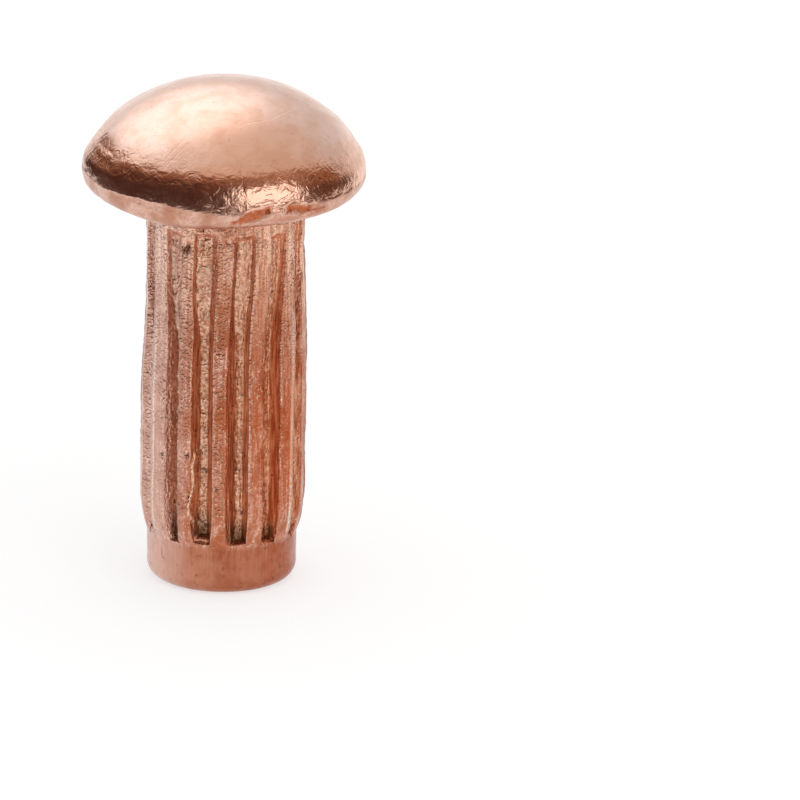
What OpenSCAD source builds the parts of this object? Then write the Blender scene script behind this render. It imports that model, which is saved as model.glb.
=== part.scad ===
// Knurled nameplate rivet: a solid copper drive rivet, cold headed and rolled
// from one length of wire. It stands on its pilot end, with the head on top.
// Origin: centre of the flat pilot end. +Z runs along the axis to the head.

/* [Head] */
// Largest diameter of the domed head
head_d = 5.58; // [4.6:0.02:6.6]
// Height of the head, from its seating face to the crown
head_h = 2.16; // [1.7:0.02:2.6]
// Radius of the shoulder between the crown and the rim
shoulder_r = 1.12; // [0.8:0.02:1.3]
// Radius that rounds the rim down into the seating face
rim_r = 0.34; // [0.15:0.01:0.5]

/* [Shank] */
// Length of the shank, from the seating face to the pilot end
shank_l = 8; // [7:0.5:12]
// Diameter of the smooth pilot that enters the hole
pilot_d = 2.94; // [2.6:0.02:3.4]
// Length of the smooth pilot
pilot_l = 1; // [0.7:0.05:1.4]
// Radius that rounds the pilot end
pilot_round_r = 0.29; // [0.1:0.01:0.4]
// Height of the plain neck above the surface of the pilot
neck_h = 0.08; // [0.05:0.01:0.1]
// Length of the plain neck
neck_l = 0.5; // [0.3:0.05:0.9]
// Radius of the fillet between the neck and the seating face
neck_fillet_r = 0.15; // [0.08:0.01:0.2]

/* [Ribs] */
// Number of rolled ribs round the shank
rib_count = 14; // [12:1:15]
// Angle from the front, -Y, to the crest of the first rib, in degrees
first_rib_angle = -3; // [-12:1:12]
// Height of the crests above the surface of the pilot, where they stand highest
rib_h = 0.15; // [0.12:0.01:0.2]
// Length over which the crests fall away to the pilot
rib_tail_l = 0.9; // [0.5:0.05:1.2]
// Distance that the ribs' feet reach onto the pilot, past the groove ends
rib_foot_l = 0.08; // [0.04:0.01:0.2]
// Length of the stretch in which the crests stand highest
rib_full_l = 2.1; // [1:0.1:2.4]
// Length over which the crests then sink to the height of the neck
rib_taper_l = 1.8; // [1:0.1:2]
// Depth of the groove floors below the surface of the pilot
groove_depth = 0.17; // [0.1:0.01:0.2]
// Width of the flat floor of a groove
groove_floor_w = 0.15; // [0.1:0.01:0.2]
// Angle between the two flanks of a groove, in degrees
groove_angle = 60; // [50:1:66]
// Length of the step where each groove starts behind the pilot
groove_step_l = 0.06; // [0.02:0.01:0.3]
// Length over which each groove runs out at the neck
groove_run_out_l = 0.15; // [0.05:0.05:0.6]

/* [Hidden] */
$fn = 72;
turned_fn = 84;
small_fn = 32;
copper = "#bd7a5b";

head_r = head_d / 2;
pilot_r = pilot_d / 2;
neck_r = pilot_r + neck_h;
rib_r = pilot_r + rib_h;
groove_floor_x = pilot_r - groove_depth;

// Heights along the shank, measured from the pilot end
tail_bottom_z = pilot_l - rib_foot_l;
tail_top_z = tail_bottom_z + rib_tail_l;
full_top_z = tail_top_z + rib_full_l;
taper_top_z = full_top_z + rib_taper_l;
neck_bottom_z = shank_l - neck_l;
run_out_z = neck_bottom_z - groove_run_out_l;

// The crest of a rib falls to the pilot along one arc of this radius
tail_r = (pow(rib_tail_l, 2) + pow(rib_h, 2)) / (2 * rib_h);

// The crown arc runs into the shoulder arc and is level at the axis. The
// shoulder stands proud of it by a hair, so that the two arcs cross cleanly.
shoulder_lap = 0.002;
shoulder_x = head_r - shoulder_r;
touch_r = shoulder_r - shoulder_lap;
crown_drop = head_h - rim_r;
crown_r = (pow(shoulder_x, 2) + pow(crown_drop, 2) - pow(touch_r, 2))
    / (2 * (crown_drop - touch_r));
crown_z = head_h - crown_r;
crown_angle = asin(shoulder_x / (crown_r - touch_r));

// Clear distance by which a cutter or a clipping shape runs past its work
past = 0.5;

// A slice of a disc between two angles under 180 degrees apart
module disc_slice(radius, from_angle, to_angle, facets = $fn) {
    reach = 2 * radius;
    middle = (from_angle + to_angle) / 2;
    intersection() {
        circle(radius, $fn = facets);
        polygon([
            [0, 0],
            reach * [cos(from_angle), sin(from_angle)],
            reach * [cos(middle), sin(middle)],
            reach * [cos(to_angle), sin(to_angle)]
        ]);
    }
}

// Half section of the head, seating face at height 0
module head_section() {
    // Crown, cut off level at the seating face
    intersection() {
        translate([0, crown_z])
            disc_slice(crown_r, 90 - crown_angle, 90);
        square([head_r, head_h]);
    }
    translate([shoulder_x, rim_r])
        disc_slice(shoulder_r, 0, 90);
    translate([head_r - rim_r, rim_r])
        disc_slice(rim_r, -90, 0, small_fn);
    // Core that joins the three arcs
    polygon([
        [0, 0],
        [head_r - rim_r, 0],
        [head_r - rim_r, rim_r],
        [shoulder_x, rim_r],
        [0, max(rim_r, crown_z)]
    ]);
}

// Half section of the fillet under the head, seating face at height 0
module neck_fillet_section() {
    difference() {
        translate([neck_r, -neck_fillet_r])
            square(neck_fillet_r);
        translate([neck_r + neck_fillet_r, -neck_fillet_r])
            circle(neck_fillet_r, $fn = small_fn);
    }
}

// Half section of the smooth pilot
module pilot_section() {
    translate([0, pilot_round_r])
        square([pilot_r, pilot_l - pilot_round_r]);
    square([pilot_r - pilot_round_r, pilot_round_r]);
    translate([pilot_r - pilot_round_r, pilot_round_r])
        disc_slice(pilot_round_r, -90, 0, small_fn);
}

// Half section through the rib crests, from the pilot to the seating face
module crest_section() {
    // Crests rise from the pilot along an arc
    intersection() {
        translate([rib_r - tail_r, tail_top_z])
            circle(tail_r, $fn = 180);
        translate([0, tail_bottom_z])
            square([rib_r, rib_tail_l]);
    }
    // Full height, a slow taper, and the height of the neck up to the head
    polygon([
        [0, tail_top_z],
        [rib_r, tail_top_z],
        [rib_r, full_top_z],
        [neck_r, taper_top_z],
        [neck_r, shank_l],
        [0, shank_l]
    ]);
}

// The rivet as headed, before its grooves are rolled
module blank() {
    rotate_extrude($fn = turned_fn) {
        pilot_section();
        crest_section();
        translate([0, shank_l]) {
            head_section();
            neck_fillet_section();
        }
    }
}

// Cross section of one groove, opening towards +X
module groove_section() {
    mouth_x = rib_r + past;
    floor_y = groove_floor_w / 2;
    mouth_y = floor_y + (mouth_x - groove_floor_x) * tan(groove_angle / 2);
    polygon([
        [groove_floor_x, -floor_y],
        [mouth_x, -mouth_y],
        [mouth_x, mouth_y],
        [groove_floor_x, floor_y]
    ]);
}

// Side view of one groove: a steep step at the pilot, a slow run-out at the neck
module groove_side() {
    step_slope = groove_step_l / groove_depth;
    run_out_slope = groove_run_out_l / (groove_depth + neck_h);
    out = rib_r + past - groove_floor_x;
    start_z = pilot_l + groove_step_l;
    polygon([
        [groove_floor_x, start_z],
        [groove_floor_x + out, start_z - out * step_slope],
        [groove_floor_x + out, run_out_z + out * run_out_slope],
        [groove_floor_x, run_out_z]
    ]);
}

// What the rolling die presses out of the blank for one groove
module groove() {
    intersection() {
        linear_extrude(shank_l)
            groove_section();
        rotate([90, 0, 0])
            translate([0, 0, -rib_r])
                linear_extrude(2 * rib_r)
                    groove_side();
    }
}

module rivet() {
    pitch = 360 / rib_count;
    color(copper)
        difference() {
            blank();
            for (i = [0 : rib_count - 1])
                rotate(first_rib_angle - 90 + (i + 0.5) * pitch)
                    groove();
        }
}

rivet();
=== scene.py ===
"""Knurled nameplate rivet: a solid copper drive rivet standing on its pilot end."""
import math

import bpy
import numpy as np
from mathutils import Matrix, Vector


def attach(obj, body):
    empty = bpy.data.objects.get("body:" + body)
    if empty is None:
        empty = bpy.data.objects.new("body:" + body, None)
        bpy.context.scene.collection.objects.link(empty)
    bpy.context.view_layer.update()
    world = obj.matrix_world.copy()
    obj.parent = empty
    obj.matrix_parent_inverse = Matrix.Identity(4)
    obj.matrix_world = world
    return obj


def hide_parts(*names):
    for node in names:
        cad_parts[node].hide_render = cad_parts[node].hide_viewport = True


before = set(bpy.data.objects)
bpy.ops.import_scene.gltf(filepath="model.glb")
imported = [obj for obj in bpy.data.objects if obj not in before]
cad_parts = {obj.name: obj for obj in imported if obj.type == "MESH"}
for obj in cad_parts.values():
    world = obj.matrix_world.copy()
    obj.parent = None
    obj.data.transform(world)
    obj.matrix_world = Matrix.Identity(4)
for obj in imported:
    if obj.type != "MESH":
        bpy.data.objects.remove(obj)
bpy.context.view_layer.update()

# The shank: soft copper wire, rolled between flat dies that press fourteen lengthwise
# grooves into it and squeeze the ribs up between them. Its last millimetre stays smooth.
# Lengths are in millimetres and angles in radians, angle 0 facing -Y and +X at a right angle.
PILOT_R = 1.47
PILOT_L = 1.0
PILOT_ROUND_R = 0.29
SHANK_L = 8.0
NECK_R = PILOT_R + 0.08
NECK_L = 0.5
NECK_BOTTOM = SHANK_L - NECK_L
FILLET_R = 0.15
RIB_R = PILOT_R + 0.15
RIB_COUNT = 14
FIRST_RIB = math.radians(-3)
RIB_PITCH = 2 * math.pi / RIB_COUNT
RIB_FADE_L = 0.2     # length over which the ribs' unevenness starts and ends
TAIL_L = 0.9         # length of the arc on which the crests rise
FOOT_L = 0.08        # how far below the top of the pilot it starts
FULL_L = 2.1         # length at their full height
TAPER_L = 1.8        # length of their taper to the neck
GROOVE_FLOOR_R = PILOT_R - 0.17
GROOVE_FLOOR_W = 0.15
FLANK_SLOPE = math.tan(math.radians(30))
STEP_L = 0.06        # length of the step that starts a groove
RUN_OUT_L = 0.15     # length of the slope that ends it
START_ROWS_L = 0.26  # length of the fine rows where the grooves start
END_ROWS_L = 0.34    # and of those below the neck
CREST_STEPS = 3      # columns across half a rib's crest
FLANK_STEPS = 7      # columns across one flank
FLOOR_STEPS = 3      # columns across half a groove's floor
RIB_COLUMNS = 2 * (CREST_STEPS + FLANK_STEPS + FLOOR_STEPS)
COLUMNS = RIB_COUNT * RIB_COLUMNS

# What the worn dies leave uneven, rib by rib from the first one towards +X: degrees off its even
# place, degrees more at the neck, and how much wider its crest is
RIB_TURN = [0.5, 1.5, 3, 1.5, 0, -1, 0.5, -0.5, 0, 1, -0.5, 0.5, 1.9, 0.8]
RIB_LEAN = [3.7, 5.8, 6.6, 5, 3.5, 3, 2, 1, 1, 0, 0, -1, -2, 0.7]
RIB_WIDER = [0.02, 0.1, 0.16, 0.06, 0, 0.08, 0.03, 0, 0.06, 0, 0.1, 0.04, 0.16, 0.04]
# And groove by groove: degrees that its floor is off the middle, the length of the shelf before
# its step, and how much higher it starts and ends
FLOOR_TURN = [3.7, 2.6, 1, 0, 0, -1, 1, 0, 1, -1, 0, 0, 2.4, -0.5]
LEDGE_SHELF = [0.02, 0.05, 0, 0.08, 0.1, 0, 0.04, 0.12, 0, 0.06, 0.1, 0.03, 0.02, 0.1]
LEDGE_SHIFT = [0.05, 0, 0.03, 0.02, 0.06, 0, 0.04, -0.02, 0.05, 0, 0.03, 0.1, 0.03, 0.06]
TOP_SHIFT = [-0.02, -0.08, 0.02, -0.1, 0, -0.15, 0.02, -0.06, 0, -0.12, 0.03, -0.05, -0.02, 0.05]
# How whole the burr is on each rib's +X edge and on the next rib's -X edge, and how gritty the
# flank below the first of them is. Where a burr is whole, it also carries a painted highlight.
RIGHT_BURR = [0.3, 0, 1, 0, 0, 0.6, 0, 0, 0.8, 0, 0, 0, 0.3, 0]
LEFT_BURR = [0.5, 0, 0, 0.6, 0, 0, 0, 0.8, 0, 0, 0, 1, 0.5, 0.55]
FLANK_GRIT = [0.1, 0, 0, 0, 0, 0.3, 0.5, 0, 0.2, 0, 0, 1, 1, 0.1]

SHELF_DEPTH = 0.04
SHELF_ROUND_L = 0.03  # length over which the shelf's edge is rounded
FLOOR_RISE = 0.09    # how much shallower the grooves are at the neck
FLOOR_SPREAD = 0.12  # how much wider their floors are there, at the cost of the flank on the -X side
BULGE = 0.045        # how much further out the +X side stands, below the neck
GRIT_H = 0.022       # height of the grit on the groove floors
GRIT_RAW = 0.2       # share by which it is higher towards the neck
BURR_H = 0.012       # height of the burr along the edges of a crest
BURR_WIDE = 1.3      # wholeness past which it also covers the columns beside the edge
BEAD_H = 0.035       # height of the bead of grit at the foot of each flank on the -X side
LEAST_FLANK = 0.015  # a flank is never narrower, in radians
# Heights between which the ribs lean, the floors spread and rise and the copper turns raw, and
# those between which the +X side swells and sinks back
LEAN_Z = (4.6, 7.3)
SPREAD_Z = (4.8, 6.4)
RISE_Z = (4.7, 6.9)
RAW_Z = (4.8, 7.2)
BULGE_Z = (3.4, 4.8, 5.8, 7.0)
# Wandering of the crests and edges, slow, quick and ragged: how far, and values per millimetre
WANDER = [(0.011, 0.7), (0.006, 4), (0.010, 14)]
# Random layers: height, values across and along, and seed of each
CREST_LUMPS = [(0.010, 4, 1.2, 9), (0.009, 16, 1.5, 10), (0.003, 30, 3, 17)]
FLOOR_GRIT = [(0.6, 40, 15, 11), (0.6, 18, 6, 12)]
DRAWN_LINES = [(0.013, 30, 1.2, 18)]
START_RAGS = [(0.014, 24, 0, 6)]
STEP_LUMPS = [(0.012, 26, 20, 19)]
END_RAGS = [(0.035, 20, 0, 8)]
NECK_LUMPS = [(0.014, 9, 5, 13), (0.009, 24, 14, 14)]
PILOT_LUMPS = [(0.003, 5, 2.5, 15)]

# A fin of copper folded into the groove left of the first rib: heights and degrees along it
FIN_Z = [1.36, 1.40, 1.52, 1.7, 1.9, 2.3, 2.7, 2.9, 3.1]
FIN_AT = [-13, -16, -20.5, -22.5, -22.5, -20.5, -21, -20, -17]
FIN_H = 0.10
FIN_W = 0.030
FIN_START_L = 0.05   # length over which it rises at its lower end
FIN_END_L = 0.2      # and sinks at its upper end

# Dents and chips: degrees, height, half width, half height and depth of each
DENTS = [(-18.8, 7.56, 0.10, 0.045, 0.12), (-29, 7.22, 0.06, 0.10, 0.10), (0.6, 7.35, 0.04, 0.045, 0.08),
         (7, 7.36, 0.03, 0.04, 0.06), (31, 7.3, 0.05, 0.1, 0.05), (-46.7, 2.85, 0.04, 0.06, 0.07),
         (-25, 2.97, 0.035, 0.05, 0.07), (-4.7, 2.31, 0.05, 0.045, 0.06), (100, 5.2, 0.06, 0.1, 0.05),
         (170, 3.4, 0.05, 0.12, 0.06)]


def ease(x, low, high):
    """Smooth step: 0 below low, 1 above high, and 3t^2 - 2t^3 between them."""
    t = np.clip((x - low) / (high - low), 0, 1)
    return t * t * (3 - 2 * t)


def plateau(x, low, full, falling, high):
    """Smooth steps up from low to full and down again from falling to high."""
    return ease(x, low, full) * (1 - ease(x, falling, high))


def bell(x, middle, half):
    """Bell curve: 1 at the middle, and 1/e at half a width to either side."""
    return np.exp(-((x - middle) / half) ** 2)


def from_front(angle):
    """The same angle as one from -pi to pi, 0 facing -Y."""
    return (angle + math.pi) % (2 * math.pi) - math.pi


def unevenness(x, y, z, seed):
    """Random field from -1 to 1: a random value at each whole-number point of space, blended
    from the eight points round x, y, z with eased steps. It repeats every 64 units."""
    lattice = np.random.default_rng(seed).uniform(-1, 1, (64, 64, 64))
    x, y, z = np.broadcast_arrays(x, y, z)
    cells = [np.floor(a).astype(int) for a in (x, y, z)]
    shares = [ease(a - c, 0, 1) for a, c in zip((x, y, z), cells)]
    total = np.zeros(x.shape)
    for i in (0, 1):
        for j in (0, 1):
            for k in (0, 1):
                weight = np.ones(x.shape)
                for share, corner in zip(shares, (i, j, k)):
                    weight = weight * (share if corner else 1 - share)
                near = [(c + corner) % 64 for c, corner in zip(cells, (i, j, k))]
                total += weight * lattice[near[0], near[1], near[2]]
    return total


def layered(x, y, z, layers):
    """Sum of random fields. Each layer gives a height, how many random values the field has per
    unit of x and y and per unit of z, and its seed."""
    return sum(height * unevenness(x * across, y * across, z * along, seed)
               for height, across, along, seed in layers)


def crest_radius(z):
    """Radius of the rolled blank at height z: the pilot's, then a tail arc up to the crests,
    a straight full stretch, a straight taper and the neck."""
    tail_top = PILOT_L - FOOT_L + TAIL_L
    full_top = tail_top + FULL_L
    rise = RIB_R - PILOT_R
    arc_r = (TAIL_L ** 2 + rise ** 2) / (2 * rise)
    below = np.clip(tail_top - z, 0, TAIL_L)
    sunk = np.clip((z - full_top) / TAPER_L, 0, 1) * (RIB_R - NECK_R)
    return RIB_R - arc_r + np.sqrt(arc_r ** 2 - below ** 2) - sunk


def shank_rows():
    """Heights of the rows from the pilot's rounding to the neck's fillet, close together
    where the grooves start and run out."""
    start_top = PILOT_L + START_ROWS_L
    end_bottom = NECK_BOTTOM - END_ROWS_L
    end_top = NECK_BOTTOM + 0.08
    return np.concatenate([
        np.linspace(PILOT_ROUND_R, PILOT_L - FOOT_L, 10)[1:-1],  # the pilot
        np.linspace(PILOT_L - FOOT_L, PILOT_L - 0.004, 5),       # its top, up to the ledge
        np.linspace(PILOT_L, start_top, 14),                     # the start of the grooves
        np.linspace(start_top, end_bottom, 116)[1:-1],           # their length
        np.linspace(end_bottom, end_top, 18),                    # their end
        np.linspace(end_top, SHANK_L - FILLET_R, 9)[1:],         # the neck
    ])


def shank_columns(z):
    """Angle, level, side, edge and foot of every column at each height in z. The level is 1 on a
    crest, 0 on a groove's floor and straight between. The side is 1 on the flank that faces a
    larger angle and -1 on the other. The edge is 1 along both edges of a crest, and the foot is 1
    where the first of a groove's flanks meets its floor."""
    rib = np.arange(RIB_COUNT)[None]
    down = z[:, None]
    crest = crest_radius(down)

    def wander(seed):
        """Random wandering of a line along each rib, as an angle."""
        return sum(far * unevenness(down * along, rib * 7.5, 0.5, seed + k)
                   for k, (far, along) in enumerate(WANDER)) / RIB_R

    def after(lines):
        """The same line of the next rib."""
        return np.roll(lines, -1, 1) + np.where(rib == RIB_COUNT - 1, 2 * math.pi, 0)

    turn = np.radians(RIB_TURN) + np.radians(RIB_LEAN) * ease(down, *LEAN_Z)
    middle = FIRST_RIB + rib * RIB_PITCH + turn
    mouth = (GROOVE_FLOOR_W / 2 + (crest - GROOVE_FLOOR_R) * FLANK_SLOPE) / crest
    half = RIB_PITCH / 2 - mouth + np.array(RIB_WIDER) / 2 / RIB_R
    floor_half = GROOVE_FLOOR_W / 2 / GROOVE_FLOOR_R
    floor_mid = (middle + after(middle)) / 2 + np.radians(FLOOR_TURN) + wander(40) / 2
    spread = FLOOR_SPREAD / GROOVE_FLOOR_R * ease(down, *SPREAD_Z)
    right_foot = floor_mid - floor_half - spread + wander(30)
    left_foot = floor_mid + floor_half + wander(50)
    right_edge = np.minimum(middle + half + wander(20), right_foot - LEAST_FLANK)
    left_edge = np.maximum(after(middle - half) + wander(60), left_foot + LEAST_FLANK)
    crest_mid = middle + wander(10)
    corners = [crest_mid, right_edge, right_foot, floor_mid, left_foot, left_edge, after(crest_mid)]
    steps = [CREST_STEPS, FLANK_STEPS, FLOOR_STEPS, FLOOR_STEPS, FLANK_STEPS, CREST_STEPS]
    levels = [1, 1, 0, 0, 0, 1, 1]
    sides = [0, 1, 0, 0, -1, 0]
    angle, level, side, edge, foot = [], [], [], [], []
    for k, count in enumerate(steps):
        share = (np.arange(count) / count)[None, None]
        a, b = corners[k][..., None], corners[k + 1][..., None]
        angle.append(a * (1 - share) + b * share)
        level.append(levels[k] * (1 - share) + levels[k + 1] * share + 0 * angle[-1])
        side.append(sides[k] + 0 * angle[-1])
        edge.append((share == 0) * (k in (1, 5)) + 0 * angle[-1])
        foot.append((share == 0) * (k == 2) + 0 * angle[-1])
    return [np.concatenate(part, 2).reshape(len(z), COLUMNS) for part in (angle, level, side, edge, foot)]


def shank_grid():
    """Rows from the pilot to the neck. The radius is the crest's, less the groove: the larger
    of the section's radius and the radius at which the groove starts or runs out."""
    z = shank_rows()
    angle, level, side, edge, foot = shank_columns(z)
    z = z[:, None] + 0 * angle
    x, y = np.sin(angle), np.cos(angle)
    turned = from_front(angle)
    groove = np.arange(COLUMNS) // RIB_COLUMNS
    in_ribs = plateau(z, PILOT_L, PILOT_L + RIB_FADE_L, NECK_BOTTOM, NECK_BOTTOM + RIB_FADE_L)
    raw = ease(z, *RAW_Z)

    crest = crest_radius(z) + BULGE * ease(x, 0.4, 1) * plateau(z, *BULGE_Z)
    crest = crest + in_ribs * layered(x, y, z, CREST_LUMPS)
    floor_r = GROOVE_FLOOR_R + FLOOR_RISE * ease(z, *RISE_Z)
    grit = GRIT_H * (1 + GRIT_RAW * raw) * layered(x, y, z, FLOOR_GRIT)
    drawn = layered(x, y, z, DRAWN_LINES) * np.abs(side)
    bead = foot * ease(unevenness(groove * 3.5, 0, z * 9, 22), -0.6, 0.4) * in_ribs
    section = floor_r + (crest - floor_r) * level + (1 - level) * (grit + drawn) + BEAD_H * bead

    # Where the groove starts: a shelf and then a step down. Where it ends: a slope up to the neck
    up = z - PILOT_L - np.array(LEDGE_SHIFT)[groove] - layered(x, y, z, START_RAGS)
    shelf = np.array(LEDGE_SHELF)[groove]
    drop = PILOT_R - GROOVE_FLOOR_R - SHELF_DEPTH
    step = PILOT_R - SHELF_DEPTH * ease(up, 0, SHELF_ROUND_L) - drop * np.clip((up - shelf) / STEP_L, 0, 1)
    step = step + layered(x, y, z, STEP_LUMPS) * (up > 0)
    end = NECK_BOTTOM - RUN_OUT_L + np.array(TOP_SHIFT)[groove] + layered(x, y, z, END_RAGS)
    run_out = floor_r + (z - end) / RUN_OUT_L * (NECK_R - floor_r)
    radius = np.minimum(crest, np.maximum(section, np.maximum(step, run_out)))

    fin = bell(turned, np.radians(np.interp(z, FIN_Z, FIN_AT)), FIN_W / GROOVE_FLOOR_R)
    fin = fin * plateau(z, FIN_Z[0] - FIN_START_L, FIN_Z[0], FIN_Z[-1] - FIN_END_L, FIN_Z[-1])
    radius = radius + FIN_H * fin * (turned < 0)

    # The burr comes and goes along each edge. Where the rib's list says that it is whole, it is
    # kept and stands higher, though less so where the copper is raw. The same share, as lit, sets
    # the painted highlight along the crest's edges.
    burr = ease(unevenness(groove * 5.5, side * 3, z * 2.6, 16), -0.2, 0.6)
    whole = np.where(side > 0, np.array(RIGHT_BURR)[groove], np.array(LEFT_BURR)[groove]) * (1 - 0.5 * raw)
    burr = np.maximum(burr, whole) + 0.6 * whole
    lit = edge * in_ribs * burr
    beside = np.maximum(np.roll(lit, 1, 1), np.roll(lit, -1, 1))
    lit = np.maximum(lit, 0.9 * beside * (beside > BURR_WIDE))
    ragged = burr + 0.6 * unevenness(groove * 5.5, side * 3, z * 15, 21)
    radius = radius + in_ribs * edge * BURR_H * ragged

    smooth = 1 - ease(z, PILOT_L - FOOT_L, PILOT_L + 0.04)
    radius = radius + smooth * layered(x, y, z, PILOT_LUMPS)
    radius = radius + ease(z, NECK_BOTTOM - 0.15, NECK_BOTTOM) * layered(x, y, z, NECK_LUMPS)
    for at, at_z, half_w, half_h, deep in DENTS:
        radius = radius - deep * bell(turned, math.radians(at), half_w / RIB_R) * bell(z, at_z, half_h)

    depth = np.clip((crest - radius) / (RIB_R - GROOVE_FLOOR_R), 0, 1)
    smooth_flank = np.abs(side) * (1 - raw) * (1 - np.array(FLANK_GRIT)[groove] * (side > 0))
    # Painted shade darkens the deep parts of each groove near its lower end, above the pilot
    soiled = ease(depth, 0.2, 0.6) * (1 - ease(z, 1.2, 1.6 + 0.3 * unevenness(x * 3, y * 3, 0, 23)))
    # The edge field carries the painted highlights along the burrs and the fin, and the bead field the
    # painted glints on the beads of grit and the fin
    return angle, z, radius, {"depth": depth, "flank": depth * smooth_flank, "raw": raw, "pilot": smooth,
                              "edge": np.maximum(lit, 0.8 * fin), "bead": np.maximum(bead, 0.9 * fin),
                              "soiled": soiled}


# The head: the wire's end upset in a header's cup-shaped die. The copper runs out to a
# rounded rim, thicker at the front left, where a ragged fold shows how it left the die.
HEAD_R = 2.79
HEAD_H = 2.16
SHOULDER_R = 1.12
RIM_R = 0.34
RIM_STEPS = 15       # steps along the arcs of the rim, the shoulder and the crown
SHOULDER_STEPS = 37
CROWN_STEPS = 19
HEAD_SHIFT = -0.045  # the head sits a little off the shank's axis
DROOP = 0.06         # how much lower the head's -X side hangs
LIP = 0.09           # how much lower the seat's edge hangs at the front left
LIP_AT = -0.42       # middle and half width of that stretch
LIP_HALF = 0.48
# Height of the fold round the head
FOLD_AT = np.radians([-180, -120, -78, -64, -46, -34, -22, -14, -6, 4, 40, 180])
FOLD_Z = [8.36, 8.42, 8.54, 8.51, 8.46, 8.50, 8.47, 8.44, 8.39, 8.38, 8.40, 8.36]
# How much higher the rim's widest line stands
RIM_AT = np.radians([-180, -110, -80, -62, -46, -34, -20, 180])
RIM_LIFT = [0, 0.03, 0.10, 0.08, 0.05, 0.03, 0, 0]
# Slope of the rim's inward lean below the fold
LEAN_AT = np.radians([-180, -84, -70, -57, -42, -30, -18, -8, 2, 15, 35, 65, 95, 180])
RIM_LEAN = [0, 0.02, 0.20, 0.22, 0.16, 0.12, 0.12, 0.08, 0, 0, 0.03, 0.03, 0, 0]
FOLD_STEP = 0.045    # how far the rim is set back under the fold
FOLD_L = 0.10        # height over which it is
FLARE = 0.09         # slope at which the skin spreads down to the fold
FLARE_TOP = 8.62     # height below which it does
FLARE_L = 0.3        # height over which it keeps growing
FLARE_AT = -0.66     # middle and half width of the stretch with the step and the flare
FLARE_HALF = 0.42
# Two tears in the rim at the front right: degrees, middle height and half height along them
TEAR_AT = np.radians([4, 8, 13, 19, 21, 25, 28, 35, 45])
TEAR_Z = [8.17, 8.22, 8.31, 8.40, 8.41, 8.41, 8.39, 8.33, 8.20]
TEAR_HALF = [0.04, 0.10, 0.14, 0.11, 0.01, 0.04, 0.13, 0.10, 0.04]
TEAR_DEPTH = 0.04
# The dome is flatter at both sides, and a little slack over the back right
FLAT_AT = 1.5
FLAT_HALF = 0.6
FLAT_DEPTH = 0.05
FLAT_Z = (8.6, 8.9, 9.05, 9.3)
SLACK_DEPTH = 0.012
SLACK_X = (0.2, 1.0, 1.6, 2.3)
SLACK_Y = (-0.8, 0.4)
LIFT_Z = (8, 8.34, 8.5, 9.7)         # heights between which the rim is lifted
WRINKLED_Z = (8.25, 8.4, 8.9, 9.6)   # and between which the shoulder is wrinkled
# Random layers: height, values per millimetre across and along, and seed of each
HEAD_WAVES = [(0.010, 0.9, 0.9, 32), (0.0035, 3, 3, 33), (0.000648, 8, 6, 34), (0.000264, 15, 11, 37)]
SHOULDER_CREASES = [(0.0036, 8, 6, 34), (0.0022, 15, 11, 37)]
RIM_LUMPS = [(0.0060, 5, 7, 35), (0.0030, 14, 14, 41)]
FOLD_RAGS = [(0.025, 5, 0, 30), (0.012, 14, 0, 31)]
TEAR_RAGS = [(0.02, 8, 0, 36), (0.05, 20, 16, 42)]
TEAR_LUMPS = [(0.015, 9, 9, 39)]


def arc(centre_r, centre_z, radius, start, stop, steps):
    """Radii and heights of points along an arc, between two angles in degrees."""
    t = np.radians(np.linspace(start, stop, steps + 1))
    return np.stack([centre_r + radius * np.cos(t), centre_z + radius * np.sin(t)])


def head_profile():
    """Fillet, seating face, rim arc, shoulder arc and crown arc, as one run of points. The
    crown arc touches the shoulder arc and is level at the axis."""
    shoulder_x, drop = HEAD_R - SHOULDER_R, HEAD_H - RIM_R
    crown_r = (shoulder_x ** 2 + drop ** 2 - SHOULDER_R ** 2) / (2 * (drop - SHOULDER_R))
    lean = math.degrees(math.asin(shoulder_x / (crown_r - SHOULDER_R)))
    rim_z = SHANK_L + RIM_R
    seat = np.linspace(NECK_R + FILLET_R, HEAD_R - RIM_R, 7)[1:-1]
    return np.concatenate([
        arc(NECK_R + FILLET_R, SHANK_L - FILLET_R, FILLET_R, 180, 90, 5)[:, 1:],
        np.stack([seat, 0 * seat + SHANK_L]),
        arc(HEAD_R - RIM_R, rim_z, RIM_R, -90, 0, RIM_STEPS),
        arc(shoulder_x, rim_z, SHOULDER_R, 0, 90 - lean, SHOULDER_STEPS)[:, 1:],
        arc(0, SHANK_L + HEAD_H - crown_r, crown_r, 90 - lean, 89, CROWN_STEPS)[:, 1:],
    ], 1)


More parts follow.
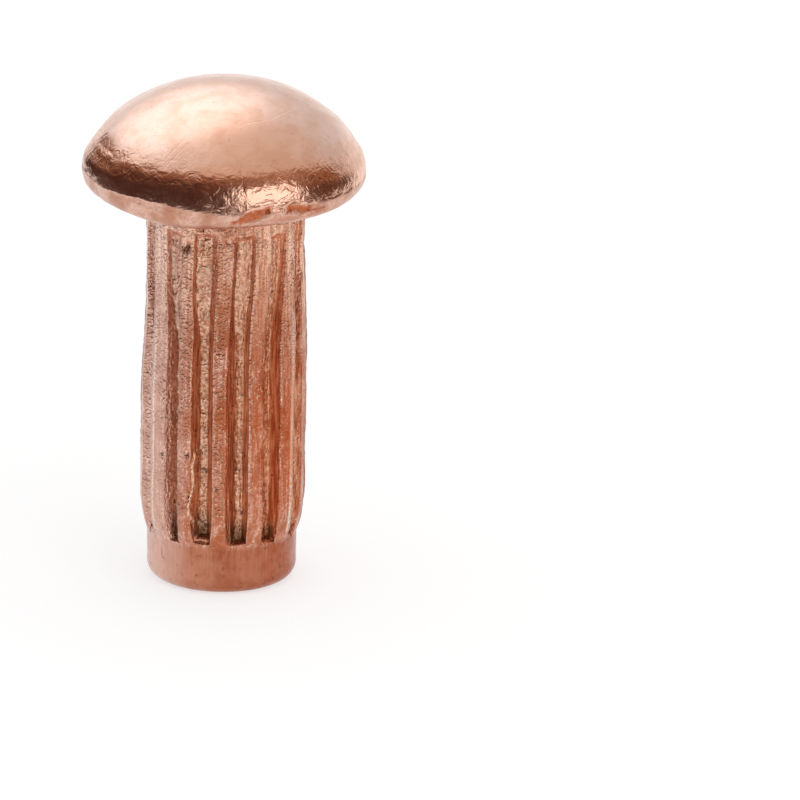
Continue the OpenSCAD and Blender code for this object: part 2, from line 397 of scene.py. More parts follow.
def head_grid(angle):
    """Rows of the head: its profile turned round its own axis, raised along the thicker part of
    the rim and moved along its normal by the wrinkles and dents of the upset copper."""
    r, z = (line[:, None] + 0 * angle for line in head_profile())
    angle = angle + 0 * r
    normal_r, normal_z = np.gradient(z, axis=0), -np.gradient(r, axis=0)
    size = np.hypot(normal_r, normal_z)
    normal_r, normal_z = normal_r / size, normal_z / size
    x, y = r * np.sin(angle), -r * np.cos(angle)
    around = from_front(angle)
    outer = np.maximum(ease(r, NECK_R + FILLET_R, NECK_R + FILLET_R + 0.25), ease(z, 8.3, 8.5))
    skin = ease(z, SHANK_L, SHANK_L + 0.1) * outer
    lift = np.interp(around, RIM_AT, RIM_LIFT) * plateau(z, *LIFT_Z) * outer
    fold_z = np.interp(around, FOLD_AT, FOLD_Z) + layered(x, y, z, FOLD_RAGS)
    below = fold_z - z - lift

    # Waves all over, creases round the shoulder, fewer at the front left, and lumps low on the rim
    calm = 1 - 0.85 * bell(around, -0.8, 0.5) * (1 - ease(z, 8.5, 8.75))
    shoulder = plateau(z, *WRINKLED_Z) * calm
    low = 1 - ease(z, 8.45, 8.75)
    push = layered(x, y, z, HEAD_WAVES) + layered(x, y, z, SHOULDER_CREASES) * shoulder
    push = (push + layered(x, y, z, RIM_LUMPS) * low) * skin

    # A line pressed in along the fold, and the tears
    fold = bell(below, 0.02, 0.025) * (r > 2.5) * bell(around, -0.45, 0.7)
    push = push - 0.005 * fold * (0.6 + 0.4 * unevenness(x * 7, y * 7, 0, 38))
    tear_half = np.interp(around, TEAR_AT, TEAR_HALF) + layered(x, y, z, TEAR_RAGS)
    tear_off = np.abs(z - np.interp(around, TEAR_AT, TEAR_Z))
    torn = ease(tear_half - tear_off, 0.0, 0.05) * (around > TEAR_AT[0]) * (around < TEAR_AT[-1]) * outer
    push = push - torn * (TEAR_DEPTH + layered(x, y, z, TEAR_LUMPS))

    # The flatter sides and the slack
    push = push - FLAT_DEPTH * bell(np.abs(around), FLAT_AT, FLAT_HALF) * plateau(z, *FLAT_Z)
    push = push - SLACK_DEPTH * plateau(x, *SLACK_X) * ease(y, *SLACK_Y) * skin

    # Below the fold the rim leans in and is set back, and above it the skin flares out to it
    flared = bell(around, FLARE_AT, FLARE_HALF) * outer
    lean = np.interp(around, LEAN_AT, RIM_LEAN) * np.clip(below, 0, 0.6) * outer
    lean = lean + FOLD_STEP * ease(below, 0, FOLD_L) * flared
    flare = FLARE * np.clip(FLARE_TOP - z, 0, FLARE_L) * flared
    radius = r + push * normal_r - lean + flare
    lip = LIP * bell(around, LIP_AT, LIP_HALF) * (1 - ease(z, 8.1, 8.4)) * ease(r, 1.8, 2.3)
    height = z + push * normal_z + lift - DROOP * ease(-x, 1.7, 2.7) * outer - lip
    head = ease(z, SHANK_L + 0.02, SHANK_L + 0.08) * outer
    rim = (1 - ease(-below, -0.05, 0.03)) * head
    return angle, height, radius, {"head": head, "rim": rim, "torn": torn,
                                   "wrinkled": shoulder * head, "shift": ease(r, NECK_R, NECK_R + 0.6)}


# The whole rivet: one piece of copper, so the pilot's rounded end, the shank and the head share
# one closed skin. Its points also carry the fields that the copper's finish goes by.

# Of the shank: the groove's depth, a smooth flank, raw copper, the pilot, burrs and the fin with
# their painted highlights, beads of grit and the fin with their painted glints, and painted shade
# at the grooves' lower ends. Of the head: the whole of it, its rim, its tears and its wrinkles.
FIELDS = ["depth", "flank", "raw", "pilot", "edge", "bead", "soiled", "head", "rim", "torn", "wrinkled"]


def foot_grid(angle):
    """Rows of the flat pilot end and its rounding, from near the axis outwards."""
    flat = np.linspace(0.12, PILOT_R - PILOT_ROUND_R, 5)
    r, z = np.concatenate([np.stack([flat, 0 * flat]),
                           arc(PILOT_R - PILOT_ROUND_R, PILOT_ROUND_R, PILOT_ROUND_R, -90, 0, 8)[:, 1:]], 1)
    r, z = r[:, None] + 0 * angle, z[:, None] + 0 * angle
    return angle + 0 * r, z, r, {"pilot": np.ones(r.shape)}


def closed_skin(name, parts, bottom_z, top_z, fields):
    """A closed mesh over rows of points round the axis, from bottom to top, with a pole at each
    end. Each part gives angle, height, radius and its fields, which become point attributes."""
    angle, height, radius = (np.concatenate([part[i] for part in parts]) for i in range(3))
    values = {field: np.concatenate([part[3].get(field, np.zeros(part[0].shape)) for part in parts])
              for field in fields}
    shift = values["shift"] * HEAD_SHIFT
    rows = len(radius)
    grid = np.stack([radius * np.sin(angle) + shift, -radius * np.cos(angle), height], 2)
    points = np.concatenate([grid.reshape(-1, 3), [[0, 0, bottom_z], [HEAD_SHIFT, 0, top_z]]]) * 0.001
    i, j = np.meshgrid(np.arange(rows - 1), np.arange(COLUMNS), indexing="ij")
    beside = (j + 1) % COLUMNS
    quads = np.stack([i * COLUMNS + j, i * COLUMNS + beside,
                      (i + 1) * COLUMNS + beside, (i + 1) * COLUMNS + j], 2).reshape(-1, 4)
    k = np.arange(COLUMNS)
    beside = (k + 1) % COLUMNS
    last = (rows - 1) * COLUMNS
    bottom = np.stack([np.full(COLUMNS, rows * COLUMNS), beside, k], 1)
    top = np.stack([np.full(COLUMNS, rows * COLUMNS + 1), last + k, last + beside], 1)
    mesh = bpy.data.meshes.new(name)
    mesh.from_pydata(points.tolist(), [], quads.tolist() + bottom.tolist() + top.tolist())
    mesh.polygons.foreach_set("use_smooth", np.ones(len(mesh.polygons), bool))
    for field, value in values.items():
        layer = mesh.attributes.new(field, "FLOAT", "POINT")
        ends = [value[0].mean(), value[-1].mean()]
        layer.data.foreach_set("value", np.concatenate([value.ravel(), ends]).astype(np.float32))
    mesh.update()
    piece = bpy.data.objects.new(name, mesh)
    bpy.context.scene.collection.objects.link(piece)
    return piece


shank = shank_grid()
foot = foot_grid(shank[0][:1])
head = head_grid(shank[0][-1:])
rivet = closed_skin("rivet_copper", [foot, shank, head], 0, SHANK_L + HEAD_H, FIELDS + ["shift"])
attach(rivet, "root")
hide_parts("rivet")


# Bare copper: burnished by the header's die on the dome and by the rolling dies on the crests,
# drawn smooth on the pilot and left raw and gritty in the grooves. To the eye the dome mirrors
# the room softly, the ribs and the pilot are a redder satin, and the grooves sparkle, partly with
# painted glints. Painted highlights, sheens and shade are also in the colour, each marked below.
def colour(hex_code):
    """Linear RGBA of an sRGB hex colour."""
    srgb = [int(hex_code[i:i + 2], 16) / 255 for i in (1, 3, 5)]
    return [c / 12.92 if c <= 0.04045 else ((c + 0.055) / 1.055) ** 2.4 for c in srgb] + [1]


def add(tree, kind, inputs=None, out=0, **settings):
    """Add a node with its settings. Each of its inputs, by name or number, is linked to the
    socket given for it or set to the value given. Returns the output of that name or number."""
    node = tree.nodes.new(kind)
    for name, value in settings.items():
        setattr(node, name, value)
    for key, value in (inputs or {}).items():
        if isinstance(value, bpy.types.NodeSocket):
            tree.links.new(value, node.inputs[key])
        else:
            node.inputs[key].default_value = value
    return node.outputs[out]


DOME = colour("#f4cfbf")
DOME_DULL = colour("#ecc2ae")
BAND = colour("#f0bfa6")
RIM = colour("#e6bca9")
RIM_RED = colour("#c48c74")
# Painted orange reflection of copper, inside the tears
TEAR_REFLECTION_TINT = colour("#bc653e")
CREST = colour("#e4b4a0")
CREST_RED = colour("#b36644")
# Worn edges with a painted highlight, and a brighter painted highlight on whole burrs
EDGE_WEAR_AND_HIGHLIGHT_TINT = colour("#e6bba6")
BURR_HIGHLIGHT_TINT = colour("#f6d6c6")
# Paler raw copper, with a painted sheen towards both sides
RAW_PALE_AND_SHEEN_TINT = colour("#fac8ac")
# Painted sheen colour for the -X side
MINUS_X_SHEEN_TINT = colour("#ecd0c6")
FLANK = colour("#f4bc98")
FLANK_DARK = colour("#bc7450")
FLOOR_PALE = colour("#eec4ab")
FLOOR_DARK = colour("#bf805c")
# Painted glint colour
PAINTED_GLINT_TINT = colour("#f8d8b8")
PILOT = colour("#c88c72")
# Red tarnish, also painted as warm shade towards the pilot's +X side
PILOT_TARNISH_AND_SHADE_TINT = colour("#a25638")
# Painted shade at the grooves' lower ends
GROOVE_END_SHADE_TINT = colour("#6e4a2c")
SPECK = colour("#4a2a1c")
GRIT_MM = 0.06       # grains of grit, drawn three times as coarse as they are, so that they show
STREAK_MM = 0.06     # drawn lines, across the shank
STREAK_STRETCH = 12  # how many times as long they are along it
MOTTLE_MM = 0.45     # patches of tarnish
WRINKLE_MM = 0.20    # wrinkles of the upset copper
PIT_MM = 0.12        # pits, the largest of which hold a speck of dirt
SCRATCH_W = 0.014    # half the width of a scratch
SCRATCH_DEPTH = 0.0022
SCRATCH_START_L = 0.05
SCRATCH_END_L = 0.15
# Where each scratch on the dome starts and ends: degrees and height, twice
SCRATCHES = [(-30, 9.115, -22, 9.62), (-27, 9.13, -20, 9.5), (13.5, 9.79, 36, 9.80), (36, 9.80, 76, 9.80),
             (55, 9.0, 62, 9.5), (-120, 9.4, -95, 9.9), (140, 9.2, 165, 9.7)]

# In the nodes below, a range's inputs are its value, the two numbers that it comes from and the
# two that it goes to. A mix's are its share and, for colours, 6 and 7. Lengths are in millimetres.
RANGE, MATH, MIX = "ShaderNodeMapRange", "ShaderNodeMath", "ShaderNodeMix"
copper = bpy.data.materials.new("bare_worked_copper")
copper.use_nodes = True
tree = copper.node_tree
shader = tree.nodes["Principled BSDF"]
shader.inputs["Metallic"].default_value = 1
place = add(tree, "ShaderNodeTexCoord", out="Object")
spot = add(tree, "ShaderNodeVectorMath", {0: place, 1: (1000, 1000, 1000)}, operation="MULTIPLY")
along = add(tree, "ShaderNodeVectorMath", {0: spot, 1: (1, 1, 1 / STREAK_STRETCH)}, operation="MULTIPLY")
rightward = add(tree, "ShaderNodeVectorMath", {0: spot, 1: (1, 0, 0)}, "Value", operation="DOT_PRODUCT")
upward = add(tree, "ShaderNodeVectorMath", {0: spot, 1: (0, 0, 1)}, "Value", operation="DOT_PRODUCT")
outward = add(tree, MATH, {0: rightward}, operation="ABSOLUTE")
depth, flank, raw, pilot, edge, bead, soiled, dome, rim, torn, wrinkled = (
    add(tree, "ShaderNodeAttribute", out="Fac", attribute_name=field) for field in FIELDS)
grit, streak, mottle, wrinkle, pits = (
    add(tree, "ShaderNodeTexNoise", {"Vector": where, "Scale": 1 / size, "Detail": detail,
                                     "Roughness": 0.6, "Distortion": swirl})
    for where, size, detail, swirl in ((spot, GRIT_MM, 2, 0), (along, STREAK_MM, 2, 0),
                                       (spot, MOTTLE_MM, 4, 0.3), (spot, WRINKLE_MM, 2, 1.2),
                                       (spot, PIT_MM, 1, 0)))
patchy = add(tree, RANGE, {0: mottle, 1: 0.42, 2: 0.62})
streaky = add(tree, RANGE, {0: streak, 1: 0.40, 2: 0.58, 4: 0.75})
speckled = add(tree, RANGE, {0: grit, 1: 0.45, 2: 0.62, 3: 0.45, 4: 0.0})
# Painted glints on the brightest grains
painted_glints_on_grains = add(tree, RANGE, {0: grit, 1: 0.62, 2: 0.68})

# Floors of the grooves: pale and dark grains, the odd one of which has a painted glint
grainy = add(tree, RANGE, {0: grit, 1: 0.40, 2: 0.58})
floor_tint = add(tree, MIX, {0: grainy, 6: FLOOR_DARK, 7: FLOOR_PALE}, 2, data_type="RGBA")
floor_tint = add(tree, MIX, {0: painted_glints_on_grains, 6: floor_tint, 7: PAINTED_GLINT_TINT}, 2, data_type="RGBA")

# Crests: pale copper, redder in patches, streaks and specks, with fewer painted glints than
# the floors have, and nearer to their look where it is raw
crest_glints = add(tree, MATH, {0: painted_glints_on_grains, 1: 0.6}, operation="MULTIPLY")
rawness = add(tree, MATH, {0: raw, 1: 0.25}, operation="MULTIPLY")
crest_tint = CREST
for share, coat in ((patchy, CREST_RED), (streaky, CREST_RED), (speckled, CREST_RED), (crest_glints, PAINTED_GLINT_TINT),
                    (rawness, floor_tint)):
    crest_tint = add(tree, MIX, {0: share, 6: crest_tint, 7: coat}, 2, data_type="RGBA")

# Flanks: ruled with the lines that the dies drew down them
ruled = add(tree, RANGE, {0: streak, 1: 0.42, 2: 0.58})
flank_tint = add(tree, MIX, {0: ruled, 6: FLANK, 7: FLANK_DARK}, 2, data_type="RGBA")

# Pilot: redder in patches of tarnish and with streaks that fade out at its end, redder towards
# the +X side as painted shade and warm reflection, and paler at the -X side as a painted sheen
# Painted shade and warm reflection, growing towards +X
tarnish_and_shade = add(tree, RANGE, {0: rightward, 1: -1.2, 2: 0.6, 3: 0.0, 4: 0.55})
tarnish_and_shade = add(tree, MATH, {0: patchy, 1: 0.35, 2: tarnish_and_shade}, operation="MULTIPLY_ADD")
dragged = add(tree, RANGE, {0: upward, 1: 0.35, 2: 0.9, 3: 0.25, 4: 1.0})
dragged = add(tree, MATH, {0: dragged, 1: streaky}, operation="MULTIPLY")
tarnish_and_shade = add(tree, MATH, {0: dragged, 1: 0.35, 2: tarnish_and_shade}, operation="MULTIPLY_ADD", use_clamp=True)
# Painted sheen on the -X side
minus_x_sheen = add(tree, RANGE, {0: rightward, 1: -0.6, 2: -1.2, 3: 0.0, 4: 0.40})
pilot_tint = add(tree, MIX, {0: tarnish_and_shade, 6: PILOT, 7: PILOT_TARNISH_AND_SHADE_TINT}, 2, data_type="RGBA")
pilot_tint = add(tree, MIX, {0: minus_x_sheen, 6: pilot_tint, 7: MINUS_X_SHEEN_TINT}, 2, data_type="RGBA")

# The whole shank: the floors lie over the crests, and over both go the paler raw copper towards
# the neck with a painted sheen towards both sides, a painted sheen on the -X side that is stronger
# in the grooves, the flanks, painted glints on the beads of grit and the fin, the worn edges with
# a painted highlight and a brighter painted highlight on whole burrs, painted shade at the
# grooves' lower ends and last the pilot
in_groove = add(tree, RANGE, {0: depth, 1: 0.25, 2: 0.6})
on_flank = add(tree, RANGE, {0: flank, 1: 0.1, 2: 0.35})
# Painted sheen towards both sides of the raw copper near the neck
raw_and_side_sheen = add(tree, RANGE, {0: outward, 1: 0.1, 2: 1.1, 3: 0.2, 4: 0.85})
raw_and_side_sheen = add(tree, MATH, {0: raw, 1: raw_and_side_sheen}, operation="MULTIPLY")
between = add(tree, RANGE, {0: streak, 1: 0.42, 2: 0.58, 3: 1.2, 4: 0.3})
raw_and_side_sheen = add(tree, MATH, {0: raw_and_side_sheen, 1: between}, operation="MULTIPLY")
# The painted sheen is stronger in the grooves
minus_x_sheen_in_grooves = add(tree, MATH, {0: minus_x_sheen, 1: in_groove}, operation="MULTIPLY")
minus_x_sheen = add(tree, MATH, {0: minus_x_sheen_in_grooves, 1: 1.1, 2: minus_x_sheen}, operation="MULTIPLY_ADD")
sparkling = add(tree, RANGE, {0: grit, 1: 0.48, 2: 0.56})
# Painted glints on the beads of grit and on the fin
bead_glints = add(tree, MATH, {0: bead, 1: sparkling}, operation="MULTIPLY")
rubbed = add(tree, RANGE, {0: grit, 1: 0.36, 2: 0.56, 3: 0.25})
# Worn edges get a painted highlight, and whole burrs a brighter one
worn_and_highlighted = add(tree, RANGE, {0: edge, 1: 0.35, 2: 0.9})
worn_and_highlighted = add(tree, MATH, {0: worn_and_highlighted, 1: rubbed}, operation="MULTIPLY")
whole_burr_highlight = add(tree, RANGE, {0: edge, 1: 1.15, 2: 1.5})
# Painted shade at the grooves' lower ends
end_shade_share = add(tree, RANGE, {0: soiled, 4: 0.75})
tint = crest_tint
for share, coat in ((in_groove, floor_tint), (raw_and_side_sheen, RAW_PALE_AND_SHEEN_TINT), (minus_x_sheen, MINUS_X_SHEEN_TINT), (on_flank, flank_tint),
                    (bead_glints, PAINTED_GLINT_TINT), (worn_and_highlighted, EDGE_WEAR_AND_HIGHLIGHT_TINT), (whole_burr_highlight, BURR_HIGHLIGHT_TINT), (end_shade_share, GROOVE_END_SHADE_TINT),
                    (pilot, pilot_tint)):
    tint = add(tree, MIX, {0: share, 6: tint, 7: coat}, 2, data_type="RGBA")

# The head: an even dome, dulled in patches, warmer where its shoulder is wrinkled, with a rim
# that is redder in patches and specks, and a painted orange reflection of copper where it tore
banded = add(tree, RANGE, {0: wrinkled, 1: 0.45, 2: 1.0})
# Painted orange reflection of copper in the tears
tear_reflection_share = add(tree, RANGE, {0: wrinkle, 1: 0.35, 2: 0.5, 3: 0.65})
tear_reflection_share = add(tree, MATH, {0: torn, 1: tear_reflection_share}, operation="MULTIPLY")
rim_tint = add(tree, MIX, {0: patchy, 6: RIM, 7: RIM_RED}, 2, data_type="RGBA")
rim_tint = add(tree, MIX, {0: speckled, 6: rim_tint, 7: RIM_RED}, 2, data_type="RGBA")
dome_tint = DOME
for share, coat in ((patchy, DOME_DULL), (banded, BAND), (rim, rim_tint), (tear_reflection_share, TEAR_REFLECTION_TINT)):
    dome_tint = add(tree, MIX, {0: share, 6: dome_tint, 7: coat}, 2, data_type="RGBA")

# Dark specks of dirt, many in the grooves, some on the crests and few on the dome
specks = add(tree, RANGE, {0: pits, 1: 0.66, 2: 0.74})
for share in (add(tree, RANGE, {0: depth, 1: 0.1, 2: 0.6, 3: 0.35, 4: 0.75}),
              add(tree, RANGE, {0: dome, 3: 1.0, 4: 0.35})):
    specks = add(tree, MATH, {0: specks, 1: share}, operation="MULTIPLY")
for share, coat in ((dome, dome_tint), (specks, SPECK)):
    tint = add(tree, MIX, {0: share, 6: tint, 7: coat}, 2, data_type="RGBA")
tree.links.new(tint, shader.inputs["Base Color"])

# Roughness: burnished where the dies slid, duller in patches, the grooves, the rim and the flanks
rough = add(tree, RANGE, {0: mottle, 1: 0.35, 2: 0.65, 3: 0.19, 4: 0.27})
for more in (add(tree, RANGE, {0: depth, 1: 0.2, 2: 0.7, 4: 0.08}), add(tree, RANGE, {0: rim, 4: 0.08}),
             add(tree, RANGE, {0: on_flank, 4: 0.10})):
    rough = add(tree, MATH, {0: rough, 1: more}, operation="ADD")
tree.links.new(rough, shader.inputs["Roughness"])

# Relief, in millimetres: grit and drawn lines on the shank, the rim and the tears, faint on the
# pilot, and wrinkles and scratches on the head
grit_relief = add(tree, RANGE, {0: depth, 1: 0.0, 2: 0.5, 3: 0.019, 4: 0.027})
grit_relief = add(tree, MATH, {0: raw, 1: 0.004, 2: grit_relief}, operation="MULTIPLY_ADD")
plain = add(tree, RANGE, {0: pilot, 3: 1.0, 4: 0.15})
grit_relief = add(tree, MATH, {0: grit_relief, 1: plain}, operation="MULTIPLY")
relief = add(tree, MATH, {0: grit, 1: grit_relief}, operation="MULTIPLY")
streak_relief = add(tree, RANGE, {0: raw, 3: 0.012, 4: 0.024})
relief = add(tree, MATH, {0: streak, 1: streak_relief, 2: relief}, operation="MULTIPLY_ADD")
gritty = add(tree, RANGE, {0: dome, 3: 1.0, 4: 0.0})
for field, share in ((wrinkled, 0.15), (torn, 0.8), (rim, 0.8)):
    gritty = add(tree, MATH, {0: field, 1: share, 2: gritty}, operation="MULTIPLY_ADD", use_clamp=True)
relief = add(tree, MATH, {0: relief, 1: gritty}, operation="MULTIPLY")
wrinkle_relief = add(tree, RANGE, {0: wrinkled, 3: 0.0022, 4: 0.015})
wrinkle_relief = add(tree, MATH, {0: wrinkle_relief, 1: dome}, operation="MULTIPLY")
relief = add(tree, MATH, {0: wrinkle, 1: wrinkle_relief, 2: relief}, operation="MULTIPLY_ADD")

# Each scratch is a groove along the plane through its two ends and the middle of the seat
dome_r, dome_z = head_profile()[:, -(SHOULDER_STEPS + CROWN_STEPS):]
for start_at, start_z, end_at, end_z in SCRATCHES:
    ends = []
    for at, at_z in ((math.radians(start_at), start_z), (math.radians(end_at), end_z)):
        r = np.interp(at_z, dome_z, dome_r)
        ends.append(Vector((r * math.sin(at) + HEAD_SHIFT, -r * math.cos(at), at_z)))
    run = (ends[1] - ends[0]).normalized()
    cross = run.cross(ends[0] - Vector((HEAD_SHIFT, 0, SHANK_L))).normalized()
    aside = add(tree, "ShaderNodeVectorMath", {0: spot, 1: cross}, "Value", operation="DOT_PRODUCT")
    aside = add(tree, MATH, {0: aside, 1: cross.dot(ends[0])}, operation="SUBTRACT")
    aside = add(tree, MATH, {0: aside}, operation="ABSOLUTE")
    line = add(tree, RANGE, {0: aside, 1: 0.0, 2: SCRATCH_W, 3: -SCRATCH_DEPTH, 4: 0.0})
    onward = add(tree, "ShaderNodeVectorMath", {0: spot, 1: run}, "Value", operation="DOT_PRODUCT")
    first, last = run.dot(ends[0]), run.dot(ends[1])
    begun = add(tree, RANGE, {0: onward, 1: first, 2: first + SCRATCH_START_L})
    ended = add(tree, RANGE, {0: onward, 1: last - SCRATCH_END_L, 2: last, 3: 1.0, 4: 0.0})
    line = add(tree, MATH, {0: line, 1: begun}, operation="MULTIPLY")
    line = add(tree, MATH, {0: line, 1: dome}, operation="MULTIPLY")
    relief = add(tree, MATH, {0: line, 1: ended, 2: relief}, operation="MULTIPLY_ADD")
bumped = add(tree, "ShaderNodeBump", {"Height": relief, "Distance": 0.001})
tree.links.new(bumped, shader.inputs["Normal"])
rivet.data.materials.append(copper)

# The table: a white sweep under the rivet, which keeps its soft shadow. A little of its own
# light, seen by the camera and in the copper, makes it the white of the background.
SWEEP = 0.6
SWEEP_LIFT = 0.60
sweep_mesh = bpy.data.meshes.new("sweep")
sweep_mesh.from_pydata([(-SWEEP, -SWEEP, 0), (SWEEP, -SWEEP, 0), (SWEEP, SWEEP, 0), (-SWEEP, SWEEP, 0)],
                       [], [(0, 1, 2, 3)])
sweep = bpy.data.objects.new("sweep", sweep_mesh)
bpy.context.scene.collection.objects.link(sweep)
paper = bpy.data.materials.new("white_paper")
paper.use_nodes = True
paper_shader = paper.node_tree.nodes["Principled BSDF"]
paper_shader.inputs["Base Color"].default_value = colour("#b4b4b4")
paper_shader.inputs["Roughness"].default_value = 0.9
paper_shader.inputs["Emission Color"].default_value = (1, 1, 1, 1)


def background_rays(tree):
    """1 for the rays that show the background: the camera's and those in metal or glass."""
    path = tree.nodes.new("ShaderNodeLightPath")
    seen = add(tree, MATH, {0: path.outputs["Is Camera Ray"], 1: path.outputs["Is Glossy Ray"]},
               operation="MAXIMUM")
    return add(tree, MATH, {0: seen, 1: path.outputs["Is Transmission Ray"]}, operation="MAXIMUM")


lift = add(paper.node_tree, RANGE, {0: background_rays(paper.node_tree), 4: SWEEP_LIFT})
paper.node_tree.links.new(lift, paper_shader.inputs["Emission Strength"])
sweep_mesh.materials.append(paper)

# The studio: a white tent, warmer overhead at the front right and brightest high at the back
# left, with a softbox at the front right, and open at the front onto a dark room that shows
# only in the copper.
scene = bpy.context.scene
scene.view_settings.view_transform = "Standard"
AIM = Vector((0, 0, 0.0085))   # in the head, just above its rim


def direction(azimuth, elevation):
    """Unit vector from the rivet, azimuth 0 towards the camera's side and 90 to its right."""
    a, e = math.radians(azimuth), math.radians(elevation)
    return Vector((math.sin(a) * math.cos(e), -math.cos(a) * math.cos(e), math.sin(e)))


world = bpy.data.worlds.new("tent")
scene.world = world
world.use_nodes = True
tent = world.node_tree
way = add(tent, "ShaderNodeTexCoord", out="Generated")


def towards(azimuth, elevation, far, near, low, high):
    """Value at each point of the tent: low at far degrees or more from a direction, high at near
    degrees or less, and an eased step between them."""
    facing = add(tent, "ShaderNodeVectorMath", {0: way, 1: direction(azimuth, elevation)}, "Value",
                 operation="DOT_PRODUCT")
    return add(tent, RANGE, {0: facing, 1: math.cos(math.radians(far)), 2: math.cos(math.radians(near)),
                             3: low, 4: high}, interpolation_type="SMOOTHSTEP")


# The tent's light is a little under white, and the camera sees it as white. In the copper it is
# nearly white at the horizon, dimmer overhead, warm at the front right and brightest high at the
# back left.
in_copper = tent.nodes.new("ShaderNodeLightPath").outputs["Is Glossy Ray"]
aloft = towards(0, 90, 88, 72, 0.0, 1.0)
dim = add(tent, MATH, {0: towards(-130, 35, 105, 30, 0.63, 0.78), 1: towards(-154, 50, 41, 4, 0.0, 0.74)},
          operation="ADD")
dim = add(tent, MIX, {0: aloft, 2: 0.87, 3: dim})
level = add(tent, RANGE, {0: background_rays(tent), 3: 0.85, 4: 1.0})
level = add(tent, MIX, {0: in_copper, 2: level, 3: dim})
warmth = add(tent, MATH, {0: towards(50, 58, 68, 20, 0.0, 1.0), 1: in_copper}, operation="MULTIPLY")
tent_tint = add(tent, MIX, {0: warmth, 6: (1, 1, 1, 1), 7: colour("#ffe7d4")}, 2, data_type="RGBA")
tent.links.new(tent_tint, tent.nodes["Background"].inputs["Color"])
tent.links.new(level, tent.nodes["Background"].inputs["Strength"])


def softbox(name, azimuth, elevation, distance, width, tall, radiance):
    """A rectangular lamp that faces the rivet and shows in it at the given radiance."""
    lamp = bpy.data.lights.new(name, "AREA")
    lamp.shape = "RECTANGLE"
    lamp.size, lamp.size_y = width, tall
    lamp.energy = radiance * math.pi * width * tall
    made = bpy.data.objects.new(name, lamp)
    way = direction(azimuth, elevation)
    made.location = AIM + way * distance
    made.rotation_mode = "QUATERNION"
    made.rotation_quaternion = way.to_track_quat("Z", "Y")
    made.visible_camera = False
    scene.collection.objects.link(made)


softbox("front_right_softbox", azimuth=38, elevation=16, distance=0.25, width=0.23, tall=0.15, radiance=1.55)

# The cards: the dark room in front, from 38 mm on the table up behind the lamp and paler towards
# its top, and a copper-coloured card close by at the front right, which warms that side of the
# shank.
CARD_ROWS = 12
CARD_FOOT = 0.0002   # height over the table, so that the two don't lie in one plane
CARD_PLAIN = 0.25    # share of the wall's height below which its colour stays the low one


def card(name, azimuths, near, far, tops, paler, low_hex, high_hex, glow):
    """A card bent round the rivet: a strip on the table from near to far, left out where they are
    the same, and a wall at far up to tops. It shows in the copper alone, and its colour goes from
    the low one to the high one over the upper part of the wall, sooner where paler says. The
    glow is light of its own, in that colour."""
    ways = np.stack([np.sin(np.radians(azimuths)), -np.cos(np.radians(azimuths))], 1)
    rise = np.linspace(0, 1, CARD_ROWS)
    share = np.clip((rise - CARD_PLAIN) / (1 - CARD_PLAIN), 0, 1)
    rows = [np.column_stack([ways * far, CARD_FOOT + tops * s]) for s in rise]
    if near < far:
        rows.insert(0, np.column_stack([ways * near, 0 * tops + CARD_FOOT]))
        share = np.insert(share, 0, 0)
    share = np.clip(share[:, None] + paler, 0, 1)
    n = len(azimuths)
    mesh = bpy.data.meshes.new(name)
    mesh.from_pydata(np.concatenate(rows).tolist(), [],
                     [(r * n + k, r * n + k + 1, (r + 1) * n + k + 1, (r + 1) * n + k)
                      for r in range(len(rows) - 1) for k in range(n - 1)])
    mesh.attributes.new("share", "FLOAT", "POINT").data.foreach_set("value", share.ravel())
    made = bpy.data.objects.new(name, mesh)
    scene.collection.objects.link(made)
    felt = bpy.data.materials.new(name + "_felt")
    felt.use_nodes = True
    felt_shader = felt.node_tree.nodes["Principled BSDF"]
    felt_shader.inputs["Roughness"].default_value = 1
    felt_shader.inputs["Specular IOR Level"].default_value = 0
    rising = add(felt.node_tree, "ShaderNodeAttribute", out="Fac", attribute_name="share")
    rising = add(felt.node_tree, RANGE, {0: rising}, interpolation_type="SMOOTHSTEP")
    felt_tint = add(felt.node_tree, MIX, {0: rising, 6: colour(low_hex), 7: colour(high_hex)}, 2,
                    data_type="RGBA")
    felt.node_tree.links.new(felt_tint, felt_shader.inputs["Base Color"])
    felt.node_tree.links.new(felt_tint, felt_shader.inputs["Emission Color"])
    felt_shader.inputs["Emission Strength"].default_value = glow
    mesh.materials.append(felt)
    made.visible_camera = made.visible_shadow = made.visible_diffuse = made.visible_transmission = False


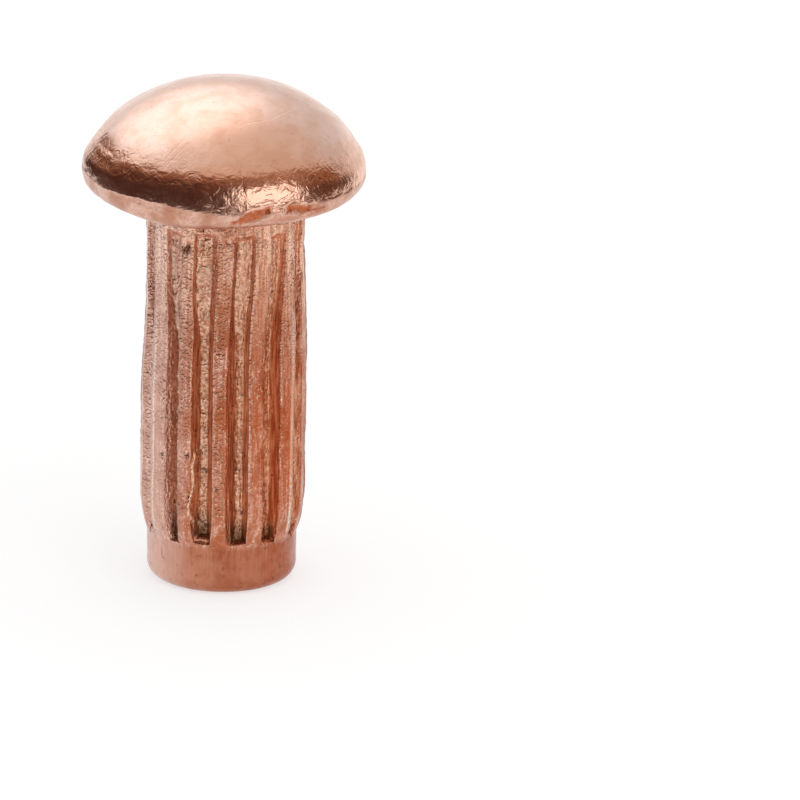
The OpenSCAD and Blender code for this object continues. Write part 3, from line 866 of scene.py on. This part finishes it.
ROOM_AT = [-152, -143, -130, -112, -90, -60, -30, 0, 30, 60, 90, 112, 126]
ROOM_TOP = [6, 11, 19, 32, 47, 57, 65, 63, 60, 54, 42, 26, 6]
ROOM_PALER = [0, 0, 0, 0, 0, 0, 0.04, 0.14, 0.2, 0.24, 0.26, 0.26, 0.2]
ROOM_NEAR = 0.038
ROOM_FAR = 0.30
WARM_AT = [34, 56, 100, 120]
WARM_PALER = [1, 0, 0, 1]
WARM_FAR = 0.006
WARM_TOP = 0.0036
room_at = np.linspace(ROOM_AT[0], ROOM_AT[-1], 60)
room_top = np.tan(np.radians(np.interp(room_at, ROOM_AT, ROOM_TOP))) * ROOM_FAR + AIM.z
room_paler = np.interp(room_at, ROOM_AT, ROOM_PALER)
card("dark_room", room_at, ROOM_NEAR, ROOM_FAR, room_top, room_paler, "#4c2a20", "#b57c58", glow=0)
warm_at = np.linspace(WARM_AT[0], WARM_AT[-1], 40)
warm_top = 0 * warm_at + WARM_TOP
warm_paler = np.interp(warm_at, WARM_AT, WARM_PALER)
card("warm_card", warm_at, WARM_FAR, WARM_FAR, warm_top, warm_paler, "#f8b888", "#fff0e6", glow=0.35)

# The camera: 19 degrees above the table and tilted a little, half a metre off with a very
# long lens. The pixel is the one that the centre of the pilot's end falls on.
ELEVATION = math.radians(19)
ROLL = math.radians(0.88)
DISTANCE = 0.5
PIXELS_PER_METRE = 50720
IMAGE = 800
ORIGIN_PX = (221.2, 571.3)
lens = bpy.data.cameras.new("camera")
lens.sensor_width = 36
lens.lens = PIXELS_PER_METRE * DISTANCE * lens.sensor_width / IMAGE
lens.clip_start = 0.01
lens.clip_end = 10
right0 = Vector((1, 0, 0))
up0 = Vector((0, math.sin(ELEVATION), math.cos(ELEVATION)))
back = Vector((0, -math.cos(ELEVATION), math.sin(ELEVATION)))
right = right0 * math.cos(ROLL) + up0 * math.sin(ROLL)
up = up0 * math.cos(ROLL) - right0 * math.sin(ROLL)
across = (ORIGIN_PX[0] - IMAGE / 2) / PIXELS_PER_METRE
above = (IMAGE / 2 - ORIGIN_PX[1]) / PIXELS_PER_METRE
stand = back * DISTANCE - right * across - up * above
camera = bpy.data.objects.new("camera", lens)
camera.matrix_world = Matrix([(right[i], up[i], back[i], stand[i]) for i in range(3)] + [(0, 0, 0, 1)])
scene.collection.objects.link(camera)
scene.camera = camera
